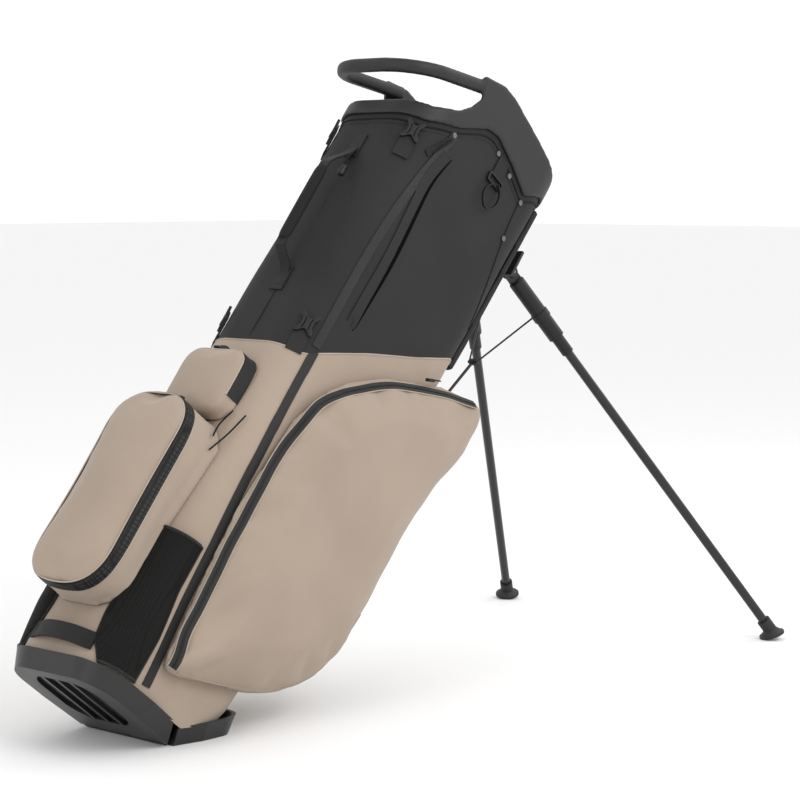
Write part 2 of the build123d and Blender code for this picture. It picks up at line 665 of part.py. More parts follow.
CLIP_TOP, CLIP_BOTTOM = 778.0, 489.0
side_face = body_at(800)[2] + GAP
TAB_AT = (31.0, 836.0)
with BuildPart() as ring_tab:
    with BuildSketch(side.offset(side_face)):
        with Locations(TAB_AT):
            Rectangle(20, 24)
    extrude(amount=1.6)
RING_AT = (31.0, 815.0)
RING_R = 1.3
RING_LIFT = 0.8
with BuildPart() as towel_ring:
    with BuildSketch(side.offset(side_face + RING_LIFT)):
        with Locations(RING_AT):
            RectangleRounded(30, 13, 3)
            RectangleRounded(30 - 4 * RING_R, 13 - 4 * RING_R, 2, mode=Mode.SUBTRACT)
    extrude(amount=2 * RING_R)
with BuildPart() as glove_loop:
    with BuildSketch(side.offset(side_face + RING_LIFT + 2 * RING_R)):
        with Locations((RING_AT[0] + 3, RING_AT[1] - 17)):
            Ellipse(15, 23, rotation=8)
            Ellipse(12.6, 20.6, rotation=8, mode=Mode.SUBTRACT)
    extrude(amount=2.4)

RIVETS = [(-62, 811), (16, 847), (50, 839), (88, 827), (90, 772)]
with BuildPart() as rivets:
    with BuildSketch(side.offset(side_face)):
        with Locations(*RIVETS):
            Circle(3.4)
    extrude(amount=1.4)
    mirror(about=Plane.XZ)


def zipper_pull(plane, reach):
    """A zipper slider with its pull tab; the plane's x runs along the teeth."""
    with BuildPart() as pull:
        with BuildSketch(plane):
            RectangleRounded(11, 8, 2)
        extrude(amount=3.6)
        with BuildSketch(plane.offset(3.6 - 1.6)):
            with Locations((reach / 2, 0)):
                SlotOverall(abs(reach) + 8, 6)
        extrude(amount=1.6)
    return pull.part


ball_top = Plane(origin=spot(-178, 0, BALL_HIGH + GAP), x_dir=(0, 1, 0), z_dir=UP_BAG)
pouch_top = Plane(origin=spot(-146, 0, POUCH_HIGH + GAP), x_dir=(0, 1, 0), z_dir=UP_BAG)
apparel_up = Vector(-APPAREL[5][1] + APPAREL[4][1], APPAREL[5][0] - APPAREL[4][0], 0).normalized()
apparel_spot = (Vector(*APPAREL[4], 0) * 0.3 + Vector(*APPAREL[5], 0) * 0.7) + apparel_up * GAP
apparel_top = Plane(origin=spot(apparel_spot.X, -POCKET_OUT + APPAREL_STEP + 5, apparel_spot.Y),
                    x_dir=course(apparel_up.Y, 0, -apparel_up.X), z_dir=course(apparel_up.X, 0, apparel_up.Y))


def shifted(plane, way):
    """The same plane moved along its own x."""
    return Plane(origin=plane.origin + plane.x_dir * way, x_dir=plane.x_dir, z_dir=plane.z_dir)


pieces = {
    "base_boot": base_boot.part, "base_flap": base_flap.part, "crease_pin": crease_pin.part,
    "lower_shell": lower_shell.part, "upper_shell": upper_shell.part, "top_cuff": top_cuff.part,
    "divider_frame": divider_frame.part, "divider_back": divider_back, "divider_front": divider_front,
    "divider_middle": divider_middle.part, "stay_back": stay_back, "stay_near": stay_near,
    "stay_far": stay_far, "hip_pad": hip_pad.part, "leg_bracket": leg_bracket.part,
    "hinge_pins": hinge_pins.part, "rod_clevis": rod_clevis.part, "clevis_pin": clevis_pin.part,
    "push_rod": push_rod.part, "rod_yoke": rod_yoke.part, "ball_pocket": ball_pocket.part,
    "accessory_pocket": accessory_pocket.part, "handle_strap": handle_strap.part,
    "handle_grip": handle_grip.part, "grab_loop": grab_loop.part, "ring_tab": ring_tab.part,
    "towel_ring": towel_ring.part, "glove_loop": glove_loop.part, "rivets": rivets.part,
    "ball_zip_pull_near": zipper_pull(shifted(ball_top, -2), -14),
    "ball_zip_pull_far": zipper_pull(shifted(ball_top, 18), 14),
    "pouch_zip_pull": zipper_pull(pouch_top, 14),
}
paired = {
    "leg_sleeve": leg_sleeve.part, "leg_tube": leg_tube.part, "leg_foot": leg_foot.part,
    "leg_clip": leg_clip.part, "leg_wire": wire.part, "apparel_pocket": apparel_pocket.part,
    "mesh_sleeve": mesh_sleeve.part, "strap_clip_top": strap_clip(CLIP_TOP),
    "strap_clip_bottom": strap_clip(CLIP_BOTTOM), "clip_tab_top": clip_tab(CLIP_TOP),
    "clip_tab_bottom": clip_tab(CLIP_BOTTOM), "apparel_zip_pull": zipper_pull(apparel_top, 14),
}
for name, piece in paired.items():
    pieces[f"{name}_near"] = piece
    pieces[f"{name}_far"] = piece.mirror(Plane.XZ)

os.makedirs("parts", exist_ok=True)
for name, piece in pieces.items():
    save(piece, name)
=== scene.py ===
# Golf stand bag: cloth, zips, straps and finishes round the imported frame.
from math import atan2, cos, exp, pi, radians, sin

import bpy
from mathutils import Matrix, Vector


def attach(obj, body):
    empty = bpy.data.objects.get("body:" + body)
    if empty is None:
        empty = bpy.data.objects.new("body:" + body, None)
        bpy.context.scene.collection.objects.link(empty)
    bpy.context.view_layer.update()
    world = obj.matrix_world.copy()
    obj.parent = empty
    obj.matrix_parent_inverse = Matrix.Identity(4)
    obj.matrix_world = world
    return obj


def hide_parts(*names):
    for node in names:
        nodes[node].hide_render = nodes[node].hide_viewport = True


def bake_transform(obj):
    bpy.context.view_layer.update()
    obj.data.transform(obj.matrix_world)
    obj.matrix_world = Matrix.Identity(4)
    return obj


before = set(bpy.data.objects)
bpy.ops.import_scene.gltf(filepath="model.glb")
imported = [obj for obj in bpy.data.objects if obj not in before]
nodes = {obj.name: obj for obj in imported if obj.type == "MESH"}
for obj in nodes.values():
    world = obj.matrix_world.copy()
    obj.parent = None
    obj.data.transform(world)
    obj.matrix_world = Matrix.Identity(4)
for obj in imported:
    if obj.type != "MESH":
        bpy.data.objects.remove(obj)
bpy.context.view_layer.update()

# ---------------------------------------------------------------- camera and studio
CREASE_X = -0.046
LEAN = radians(39.0)
EYE = Vector((-1.679, -1.8851, 0.6044))
LOOK = Vector((0.7388, 0.6675, -0.0924))


def set_camera():
    bpy.ops.object.camera_add(location=EYE, rotation=LOOK.to_track_quat("-Z", "Y").to_euler())
    camera = bpy.context.object
    camera.data.lens = 102.2
    camera.data.sensor_width = 36.0
    camera.data.clip_end = 50.0
    bpy.context.scene.camera = camera


def set_lamp(name, place, aim, size, power):
    bpy.ops.object.light_add(type="AREA", location=place)
    lamp = bpy.context.object
    lamp.name = name
    lamp.data.size = size
    lamp.data.energy = power
    lamp.rotation_euler = (Vector(aim) - Vector(place)).to_track_quat("-Z", "Y").to_euler()


def set_studio():
    world = bpy.data.worlds.new("studio")
    world.use_nodes = True
    world.node_tree.nodes["Background"].inputs["Color"].default_value = (1.0, 1.0, 1.0, 1.0)
    world.node_tree.nodes["Background"].inputs["Strength"].default_value = 1.05
    bpy.context.scene.world = world
    bpy.context.scene.view_settings.view_transform = "Standard"
    set_lamp("lamp_key", (0.2, -2.6, 2.2), (0.2, 0.0, 0.35), 1.6, 34)
    set_lamp("lamp_back_side", (-2.6, -0.2, 1.6), (0.1, 0.0, 0.4), 1.4, 12)
    set_lamp("lamp_leg_side", (2.2, -0.8, 1.7), (0.3, 0.0, 0.4), 1.5, 10)
    bpy.ops.mesh.primitive_plane_add(size=60, location=(0, 0, 0))
    floor = bpy.context.object
    floor.name = "floor"
    floor.data.materials.append(plain("floor_paint", (0.86, 0.86, 0.86), 0.7))


# ---------------------------------------------------------------- finishes
def new_material(name, colour, rough, sheen=0.0, metallic=0.0, coat=0.0, shine=0.5):
    material = bpy.data.materials.new(name)
    material.use_nodes = True
    shader = material.node_tree.nodes["Principled BSDF"]
    shader.inputs["Base Color"].default_value = (*colour, 1.0)
    shader.inputs["Roughness"].default_value = rough
    shader.inputs["Metallic"].default_value = metallic
    shader.inputs["Sheen Weight"].default_value = sheen
    shader.inputs["Sheen Roughness"].default_value = 0.5
    shader.inputs["Coat Weight"].default_value = coat
    shader.inputs["Specular IOR Level"].default_value = shine
    return material, material.node_tree, shader


def plain(name, colour, rough):
    return new_material(name, colour, rough)[0]


def wire_up(tree, pairs):
    """Links given as (node, output, node, input)."""
    for source, output, target, entry in pairs:
        tree.links.new(source.outputs[output], target.inputs[entry])


def add_node(tree, kind, **settings):
    node = tree.nodes.new(kind)
    for key, value in settings.items():
        if key in node.inputs:
            node.inputs[key].default_value = value
        else:
            setattr(node, key, value)
    return node


def sum_up(tree, operation, first=None, second=None):
    node = add_node(tree, "ShaderNodeMath", operation=operation)
    for entry, value in ((0, first), (1, second)):
        if value is not None:
            node.inputs[entry].default_value = value
    return node


def start_group(name, entries, results):
    group = bpy.data.node_groups.new(name, "ShaderNodeTree")
    for entry, value in entries:
        socket = group.interface.new_socket(name=entry, in_out="INPUT", socket_type="NodeSocketFloat")
        socket.default_value = value
    for result, kind in results:
        group.interface.new_socket(name=result, in_out="OUTPUT", socket_type=kind)
    return group, group.nodes.new("NodeGroupInput"), group.nodes.new("NodeGroupOutput")


def make_weave():
    """Plain weave along the bag's own axes, with slubs in the thread and soft folds in the cloth."""
    group, entry, result = start_group(
        "weave", [("Threads", 900.0), ("Slub", 0.4), ("Folds", 7.0)],
        [("Height", "NodeSocketFloat"), ("Tone", "NodeSocketFloat"), ("Fold", "NodeSocketFloat")])
    place = add_node(group, "ShaderNodeTexCoord")
    turn = add_node(group, "ShaderNodeMapping", Rotation=(0.0, -LEAN, 0.0))
    warp = add_node(group, "ShaderNodeTexWave", wave_type="BANDS", bands_direction="Z", Distortion=0.0)
    weft = add_node(group, "ShaderNodeTexWave", wave_type="BANDS", bands_direction="X", Distortion=0.0)
    cross = add_node(group, "ShaderNodeTexWave", wave_type="BANDS", bands_direction="Y", Distortion=0.0)
    slub = add_node(group, "ShaderNodeTexNoise", Scale=160.0, Detail=3.0)
    fold = add_node(group, "ShaderNodeTexNoise", Detail=2.0, Roughness=0.45)
    scale = sum_up(group, "MULTIPLY", second=0.31)
    sides = sum_up(group, "MULTIPLY")
    height = sum_up(group, "MULTIPLY")
    lumps = sum_up(group, "MULTIPLY")
    total = sum_up(group, "ADD")
    tone = sum_up(group, "MULTIPLY")
    wire_up(group, [
        (place, "Object", turn, "Vector"), (entry, "Threads", scale, 0),
        (turn, "Vector", warp, "Vector"), (turn, "Vector", weft, "Vector"), (turn, "Vector", cross, "Vector"),
        (scale, 0, warp, "Scale"), (scale, 0, weft, "Scale"), (scale, 0, cross, "Scale"),
        (turn, "Vector", slub, "Vector"), (turn, "Vector", fold, "Vector"), (entry, "Folds", fold, "Scale"),
        (weft, "Fac", sides, 0), (cross, "Fac", sides, 1), (sides, 0, height, 0), (warp, "Fac", height, 1),
        (slub, "Fac", lumps, 0), (entry, "Slub", lumps, 1), (height, 0, total, 0), (lumps, 0, total, 1),
        (total, 0, tone, 0), (slub, "Fac", tone, 1),
        (total, 0, result, "Height"), (tone, 0, result, "Tone"), (fold, "Fac", result, "Fold")])
    return group


def make_grime():
    """Uneven rubbed patches, for roughness and tone on plastic and metal."""
    group, entry, result = start_group(
        "rubbed", [("Size", 30.0), ("Grain", 900.0)],
        [("Patch", "NodeSocketFloat"), ("Grain", "NodeSocketFloat")])
    place = add_node(group, "ShaderNodeTexCoord")
    patch = add_node(group, "ShaderNodeTexNoise", Detail=5.0, Roughness=0.6)
    grain = add_node(group, "ShaderNodeTexVoronoi", feature="SMOOTH_F1")
    wire_up(group, [
        (place, "Object", patch, "Vector"), (place, "Object", grain, "Vector"),
        (entry, "Size", patch, "Scale"), (entry, "Grain", grain, "Scale"),
        (patch, "Fac", result, "Patch"), (grain, "Distance", result, "Grain")])
    return group


weave = make_weave()
rubbed = make_grime()


def place_group(tree, group, **values):
    node = tree.nodes.new("ShaderNodeGroup")
    node.node_tree = group
    for key, value in values.items():
        node.inputs[key].default_value = value
    return node


def tint(tree, dark, light, low=0.3, high=0.7):
    ramp = tree.nodes.new("ShaderNodeValToRGB")
    ramp.color_ramp.elements[0].position = low
    ramp.color_ramp.elements[1].position = high
    ramp.color_ramp.elements[0].color = (*dark, 1.0)
    ramp.color_ramp.elements[1].color = (*light, 1.0)
    return ramp


def cloth_finish(name, colour, threads=900.0, depth=0.00012, fold_depth=0.0012, sheen=0.15, spread=0.10,
                 rough=0.82, shine=0.3):
    material, tree, shader = new_material(name, colour, rough, sheen=sheen, shine=shine)
    cloth = place_group(tree, weave, Threads=threads, Slub=0.5, Folds=9.0)
    ramp = tint(tree, [c * (1 - spread) for c in colour], [c * (1 + spread) for c in colour], 0.35, 0.65)
    folds = add_node(tree, "ShaderNodeBump", Strength=0.5, Distance=fold_depth)
    threads_bump = add_node(tree, "ShaderNodeBump", Strength=0.6, Distance=depth)
    wire_up(tree, [(cloth, "Fold", ramp, "Fac"), (ramp, "Color", shader, "Base Color"),
                   (cloth, "Fold", folds, "Height"), (cloth, "Height", threads_bump, "Height"),
                   (folds, "Normal", threads_bump, "Normal"), (threads_bump, "Normal", shader, "Normal")])
    return material


def hard_finish(name, colour, rough, metallic=0.0, grain=1400.0, grain_depth=0.00006, coat=0.0, spread=0.15,
                shine=0.5):
    material, tree, shader = new_material(name, colour, rough, metallic=metallic, coat=coat, shine=shine)
    patch = place_group(tree, rubbed, Size=26.0, Grain=grain)
    ramp = tint(tree, [c * (1 - spread) for c in colour], [c * (1 + spread) for c in colour])
    gloss = add_node(tree, "ShaderNodeMapRange")
    gloss.inputs["To Min"].default_value = rough - 0.07
    gloss.inputs["To Max"].default_value = rough + 0.09
    bump = add_node(tree, "ShaderNodeBump", Strength=0.5, Distance=grain_depth)
    wire_up(tree, [(patch, "Patch", ramp, "Fac"), (ramp, "Color", shader, "Base Color"),
                   (patch, "Patch", gloss, "Value"), (gloss, "Result", shader, "Roughness"),
                   (patch, "Grain", bump, "Height"), (bump, "Normal", shader, "Normal")])
    return material


def cell_finish(name, colour, dark, cells, depth, rough=0.6):
    """Small raised cells, as on mesh cloth and on the ribbed side of a pocket."""
    material, tree, shader = new_material(name, colour, rough, shine=0.2)
    place = add_node(tree, "ShaderNodeTexCoord")
    turn = add_node(tree, "ShaderNodeMapping", Rotation=(0.0, -LEAN, 0.0))
    cell = add_node(tree, "ShaderNodeTexVoronoi", feature="DISTANCE_TO_EDGE", Scale=cells, Randomness=0.12)
    ramp = tint(tree, dark, colour, 0.05, 0.22)
    bump = add_node(tree, "ShaderNodeBump", Strength=0.9, Distance=depth)
    wire_up(tree, [(place, "Object", turn, "Vector"), (turn, "Vector", cell, "Vector"),
                   (cell, "Distance", ramp, "Fac"), (ramp, "Color", shader, "Base Color"),
                   (cell, "Distance", bump, "Height"), (bump, "Normal", shader, "Normal")])
    return material


def strip_finish(name, colour, ribs, depth, rough=0.6, sheen=0.0, shine=0.3):
    """Ribs across a strip, along its own length: webbing, binding and zip teeth."""
    material, tree, shader = new_material(name, colour, rough, sheen=sheen, shine=shine)
    place = add_node(tree, "ShaderNodeTexCoord")
    rib = add_node(tree, "ShaderNodeTexWave", wave_type="BANDS", bands_direction="Y", Scale=ribs,
                   Distortion=0.0)
    ramp = tint(tree, [c * 0.7 for c in colour], [c * 1.25 for c in colour], 0.2, 0.8)
    bump = add_node(tree, "ShaderNodeBump", Strength=0.7, Distance=depth)
    wire_up(tree, [(place, "UV", rib, "Vector"), (rib, "Fac", ramp, "Fac"), (ramp, "Color", shader, "Base Color"),
                   (rib, "Fac", bump, "Height"), (bump, "Normal", shader, "Normal")])
    return material


TAN = (0.318, 0.252, 0.198)
tan_cloth = cloth_finish("tan_cloth", TAN, spread=0.05)
tan_piping = cloth_finish("tan_piping", (0.36, 0.30, 0.245), spread=0.05)
black_cloth = cloth_finish("black_cloth", (0.0125, 0.0112, 0.0116), sheen=0.0, spread=0.14, rough=0.75, shine=0.35)
black_trim = cloth_finish("black_trim", (0.0045, 0.0045, 0.0045), sheen=0.0, rough=0.7, shine=0.2)
# near-black finish: painted shade for the inside of the placket slot
slot_shade_cloth = cloth_finish("slot_shadow_cloth", (0.0015, 0.0015, 0.0015), sheen=0.0, rough=0.9, shine=0.05)
lining = cloth_finish("lining_cloth", (0.010, 0.010, 0.0105), fold_depth=0.002, sheen=0.0)
grip_cloth = cloth_finish("grip_cloth", (0.0075, 0.0075, 0.0077), threads=600.0, depth=0.0002, sheen=0.0)
mesh_cloth = cell_finish("mesh_cloth", (0.0075, 0.0075, 0.0070), (0.002, 0.002, 0.002), 420.0, 0.0006, 0.8)
scale_cloth = cell_finish("scale_cloth", (0.022, 0.0235, 0.0245), (0.004, 0.004, 0.004), 190.0, 0.0012, 0.5)
webbing = strip_finish("webbing", (0.009, 0.009, 0.0092), 60.0, 0.0003)
binding = strip_finish("binding", (0.013, 0.0132, 0.0136), 150.0, 0.0002, rough=0.5)
zip_tape = strip_finish("zip_tape", (0.014, 0.0145, 0.0155), 150.0, 0.0002, rough=0.55)
zip_teeth = strip_finish("zip_teeth", (0.007, 0.007, 0.0072), 260.0, 0.0005, rough=0.4)
moulded = hard_finish("moulded_black", (0.0125, 0.0125, 0.013), 0.52, grain_depth=0.00009, shine=0.4)
boot_plastic = hard_finish("boot_plastic", (0.009, 0.009, 0.0095), 0.36, grain_depth=0.00005)
clip_plastic = hard_finish("clip_plastic", (0.006, 0.006, 0.0062), 0.42, shine=0.35)
leg_paint = hard_finish("leg_paint", (0.012, 0.012, 0.0125), 0.36, metallic=0.3, coat=0.15)
bare_steel = hard_finish("bare_steel", (0.30, 0.30, 0.31), 0.35, metallic=1.0)
black_steel = hard_finish("black_steel", (0.02, 0.02, 0.021), 0.38, metallic=0.6)
rivet_metal = hard_finish("rivet_metal", (0.16, 0.16, 0.16), 0.4, metallic=0.8)
foot_rubber = hard_finish("foot_rubber", (0.011, 0.011, 0.011), 0.62, grain=700.0, grain_depth=0.0002)
rod_finish = hard_finish("stay_finish", (0.04, 0.04, 0.04), 0.5)


# ---------------------------------------------------------------- the bag's own axes
# level up the bag: back, front, half width, in millimetres
BODY = {22.0: (-147.0, 36.0, 85.0), 72.0: (-147.0, 52.0, 86.0), 200.0: (-145.0, 84.0, 87.0),
        330.0: (-134.0, 106.0, 85.0), 461.0: (-124.0, 124.0, 83.0), 640.0: (-121.0, 138.0, 80.0),
        880.0: (-121.0, 147.0, 80.0)}
CORNER = 52.0
COLOUR_LINE = [(-130, 455), (-100, 456), (-82, 471), (-21, 516), (48, 562), (104, 603), (150, 606)]
CUFF_EDGE = [(-140, 795), (-104, 799), (-62, 822), (-20, 856), (2, 862), (44, 852), (86, 837), (118, 860),
             (170, 861)]


def along(table, place):
    """Value of a two-column table at a place, in straight runs."""
    for (a, low), (b, high) in zip(table, table[1:]):
        if place <= b:
            return low + (high - low) * max(0.0, (place - a) / (b - a))
    return table[-1][1]


def body_at(level):
    levels = sorted(BODY)
    level = min(max(level, levels[0]), levels[-1])
    return [along([(k, BODY[k][n]) for k in levels], level) for n in range(3)]


def round_body(share, level, grow=0.0):
    """A point of the bag's outline at a level, from the middle of the back round the near side."""
    back, front, half = body_at(level)
    back, front, half, corner = back - grow, front + grow, half + grow, CORNER + grow
    flat_u, flat_v, arc = front - back - 2 * corner, 2 * (half - corner), pi * corner / 2
    way = (share % 1.0) * (2 * flat_u + 2 * flat_v + 4 * arc)
    runs = [(flat_v / 2, (back, 0), (0, -1)), (arc, (back + corner, -half + corner), pi),
            (flat_u, (back + corner, -half), (1, 0)), (arc, (front - corner, -half + corner), 1.5 * pi),
            (flat_v, (front, -half + corner), (0, 1)), (arc, (front - corner, half - corner), 2 * pi),
            (flat_u, (front - corner, half), (-1, 0)), (arc, (back + corner, half - corner), 2.5 * pi),
            (flat_v / 2, (back, half - corner), (0, -1))]
    for length, start, aim in runs:
        if way <= length or (length, start, aim) == runs[-1]:
            if isinstance(aim, tuple):
                return start[0] + aim[0] * way, start[1] + aim[1] * way
            turn = aim + way / corner
            return start[0] + corner * cos(turn), start[1] + corner * sin(turn)
        way -= length


def spot(u, v, w):
    """A point of the bag in the room: u out towards the legs, v across, w up the bag."""
    return Vector((CREASE_X + (u * cos(LEAN) + w * sin(LEAN)) / 1000, v / 1000,
                   (-u * sin(LEAN) + w * cos(LEAN)) / 1000))


# ---------------------------------------------------------------- making pieces
def clear_bench():
    if bpy.context.object and bpy.context.object.mode != "OBJECT":
        bpy.ops.object.mode_set(mode="OBJECT")
    bpy.ops.object.select_all(action="DESELECT")


def pick(piece):
    clear_bench()
    piece.select_set(True)
    bpy.context.view_layer.objects.active = piece
    return piece


def press(piece, kind, **settings):
    """Adds a modifier and applies it."""
    pick(piece)
    modifier = piece.modifiers.new(kind.lower(), kind)
    for key, value in settings.items():
        setattr(modifier, key, value)
    bpy.ops.object.modifier_apply(modifier=modifier.name)
    return piece


def mend(piece, gap=0.00005):
    """Joins doubled points and turns all faces outwards."""
    pick(piece)
    bpy.ops.object.mode_set(mode="EDIT")
    bpy.ops.mesh.select_all(action="SELECT")
    bpy.ops.mesh.remove_doubles(threshold=gap)
    bpy.ops.mesh.normals_make_consistent(inside=False)
    bpy.ops.object.mode_set(mode="OBJECT")
    return piece


def lean(piece):
    """Leans a piece modelled upright, and stands it at the crease."""
    pick(piece)
    piece.rotation_euler = (0.0, LEAN, 0.0)
    piece.location = (CREASE_X, 0.0, 0.0)
    bpy.ops.object.transform_apply(location=True, rotation=True, scale=True)
    return piece


def done(piece, name, material, body="bag", smooth=40):
    pick(piece)
    piece.name = name
    piece.data.name = name
    piece.data.materials.clear()
    piece.data.materials.append(material)
    if smooth:
        bpy.ops.object.shade_smooth_by_angle(angle=radians(smooth))
    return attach(piece, body) if body else piece


def sheet_of(columns, rows, place):
    """A grid bent to a surface; place takes shares across and along, and gives u, v, w."""
    clear_bench()
    bpy.ops.mesh.primitive_grid_add(x_subdivisions=columns, y_subdivisions=rows, size=2)
    piece = bpy.context.object
    for vertex in piece.data.vertices:
        vertex.co = Vector(place((vertex.co.x + 1) / 2, (vertex.co.y + 1) / 2)) / 1000
    return piece


def smooth_run(points, step=7.0):
    """Points close together on a smooth line through the given ones."""
    points = [Vector(p) for p in points]
    ends = [points[0] * 2 - points[1]] + points + [points[-1] * 2 - points[-2]]
    run = []
    for a, b, c, d in zip(ends, ends[1:], ends[2:], ends[3:]):
        count = max(2, int((c - b).length / step))
        for n in range(count):
            t = n / count
            run.append(0.5 * (2 * b + (c - a) * t + (2 * a - 5 * b + 4 * c - d) * t * t
                              + (3 * b - a - 3 * c + d) * t ** 3))
    return run + [points[-1]]


def ribbon(points, width, thick, across=None, facing=(0, -1, 0), onto=None, lift=0.3, columns=4, slope=0.0):
    """A flat strip along a line, laid on another piece where one is named. A slope turns it over an edge."""
    run = smooth_run(points)
    facing = Vector(facing)

    def place(s, t):
        n = min(int(round(t * (len(run) - 1))), len(run) - 1)
        tangent = (run[min(n + 1, len(run) - 1)] - run[max(n - 1, 0)]).normalized()
        face = facing + facing.cross(tangent).normalized() * slope
        side = Vector(across) if across else tangent.cross(face).normalized()
        return run[n] + side * (s - 0.5) * width

    strip = lean(sheet_of(columns, len(run) - 1, place))
    if onto:
        press(strip, "SHRINKWRAP", target=onto, wrap_method="NEAREST_SURFACEPOINT",
              wrap_mode="OUTSIDE_SURFACE", offset=lift / 1000)
    press(strip, "SOLIDIFY", thickness=thick / 1000, offset=0.0, use_even_offset=False)
    mend(strip, 0.00001)
    return strip


def cord(points, radius, onto=None, lift=0.0, leaning=True, step=5.0):
    """A round cord or piping along a line."""
    run = smooth_run(points, step)
    clear_bench()
    bpy.ops.curve.primitive_nurbs_path_add()
    line = bpy.context.object
    line.data.splines.clear()
    spline = line.data.splines.new("POLY")
    spline.points.add(len(run) - 1)
    for point, place in zip(spline.points, run):
        point.co = (*(place / 1000), 1.0)
    line.data.dimensions = "3D"
    if onto:
        pick(line)
        bpy.ops.object.convert(target="MESH")
        line = bpy.context.object
        lean(line)
        press(line, "SHRINKWRAP", target=onto, wrap_method="NEAREST_SURFACEPOINT",
              wrap_mode="OUTSIDE_SURFACE", offset=lift / 1000)
        pick(line)
        bpy.ops.object.convert(target="CURVE")
        line = bpy.context.object
    elif leaning:
        pick(line)
        line.rotation_euler = (0.0, LEAN, 0.0)
        line.location = (CREASE_X, 0.0, 0.0)
        bpy.ops.object.transform_apply(location=True, rotation=True, scale=True)
    line.data.bevel_depth = radius / 1000
    line.data.bevel_resolution = 2
    line.data.use_fill_caps = True
    pick(line)
    bpy.ops.object.convert(target="MESH")
    return bpy.context.object


def laid_run(points, onto, step=5.0, blur=8):
    """A smooth line on a piece, with the way across and the way out at each of its points."""
    run = [spot(*p) for p in smooth_run(points, step)]
    found = [onto.closest_point_on_mesh(p) for p in run]
    places, outs = [f[1].copy() for f in found], [f[2].copy() for f in found]
    for _ in range(blur):
        places = [places[0]] + [(a + b * 2 + c) / 4 for a, b, c in zip(places, places[1:], places[2:])] + [places[-1]]
        outs = [outs[0]] + [(a + b + c).normalized() for a, b, c in zip(outs, outs[1:], outs[2:])] + [outs[-1]]
    last, line = len(places) - 1, []
    for n, (place, out) in enumerate(zip(places, outs)):
        tangent = (places[min(n + 1, last)] - places[max(n - 1, 0)]).normalized()
        side = tangent.cross(out).normalized()
        line.append((place, side, side.cross(tangent)))
    return line


def laid_strip(line, width, thick, onto, lift=0.8, offset=0.0, columns=4):
    """A flat strip along a laid line. Its width may change along it."""
    def place(s, t):
        spot_at, side, out = line[min(int(round(t * (len(line) - 1))), len(line) - 1)]
        wide = width(t) if callable(width) else width
        return spot_at * 1000 + side * (offset + (s - 0.5) * wide) + out * lift

    strip = sheet_of(columns, len(line) - 1, place)
    press(strip, "SHRINKWRAP", target=onto, wrap_method="NEAREST_SURFACEPOINT", wrap_mode="OUTSIDE",
          offset=0.0003)
    press(strip, "SOLIDIFY", thickness=thick / 1000, offset=0.0, use_even_offset=False)
    return mend(strip, 0.00001)


def laid_cord(line, offset, radius, lift=0.2):
    """A cord or piping beside a laid line."""
    points = [to_bag(place + (side * offset + out * lift) / 1000) for place, side, out in line]
    return cord(points, radius, step=40.0)


def copy_of(node):
    """A loose copy of a frame node, to be shaped."""
    pick(nodes[node])
    bpy.ops.object.duplicate()
    piece = bpy.context.object
    piece.parent = None
    for key in list(piece.keys()):
        del piece[key]
    return mend(piece)


def other_side(piece, name, material, body="bag"):
    """The same piece on the far side."""
    pick(piece)
    bpy.ops.object.duplicate()
    twin = bpy.context.object
    twin.parent = None
    twin.scale = (1.0, -1.0, 1.0)
    bpy.ops.object.transform_apply(location=True, rotation=True, scale=True)
    bpy.ops.object.mode_set(mode="EDIT")
    bpy.ops.mesh.select_all(action="SELECT")
    bpy.ops.mesh.normals_make_consistent(inside=False)
    bpy.ops.object.mode_set(mode="OBJECT")
    return done(twin, name, material, body)


def both_sides(piece, name, material):
    """Finishes a near-side piece and makes its twin on the far side."""
    near = done(piece, name + "_near", material)
    other_side(near, name + "_far", material)


def to_bag(point):
    """u, v, w of a point in the room, in millimetres."""
    x, z = (point.x - CREASE_X) * 1000, point.z * 1000
    return x * cos(LEAN) - z * sin(LEAN), point.y * 1000, x * sin(LEAN) + z * cos(LEAN)


def puff(piece, held, voxel=5.0, cap=9.0, pressure=4.0, slim=2.0, rounds=6):
    """Swells a closed shape like filled cloth. What held() names stays against the bag."""
    press(piece, "REMESH", mode="VOXEL", voxel_size=voxel / 1000)
    soften = piece.vertex_groups.new(name="soften")
    loose = [v.index for v in piece.data.vertices if not held(*to_bag(v.co))]
    soften.add(loose, 1.0, "REPLACE")
    press(piece, "SMOOTH", factor=0.5, iterations=rounds, vertex_group="soften")
    press(piece, "DISPLACE", strength=-slim / 1000, mid_level=0.0, vertex_group="soften")
    start = [v.co.copy() for v in piece.data.vertices]
    pins = piece.vertex_groups.new(name="pins")
    pins.add([v.index for v in piece.data.vertices if held(*to_bag(v.co))], 1.0, "REPLACE")
    pick(piece)
    cloth = piece.modifiers.new("cloth", "CLOTH")
    cloth.settings.use_pressure = True
    cloth.settings.uniform_pressure_force = pressure
    cloth.settings.vertex_group_mass = "pins"
    cloth.settings.quality = 5
    cloth.settings.tension_stiffness = 12
    cloth.settings.compression_stiffness = 12
    cloth.settings.shear_stiffness = 8
    cloth.settings.bending_stiffness = 0.8
    cloth.settings.effector_weights.gravity = 0.0
    cloth.point_cache.frame_start = 1
    cloth.point_cache.frame_end = 22
    for step in range(1, 21):
        bpy.context.scene.frame_set(step)
    bpy.ops.object.modifier_apply(modifier="cloth")
    bpy.context.scene.frame_set(1)
    for vertex, was in zip(piece.data.vertices, start):
        moved = vertex.co - was
        if moved.length > cap / 1000:
            vertex.co = was + moved.normalized() * cap / 1000
    press(piece, "SMOOTH", factor=0.4, iterations=3, vertex_group="soften")
    press(piece, "SUBSURF", levels=1, render_levels=1)
    piece.vertex_groups.clear()
    return piece


set_camera()
set_studio()

# ---------------------------------------------------------------- fabric tube
FLOOR_CUT = 22.6        # the tube ends on the flap at this height


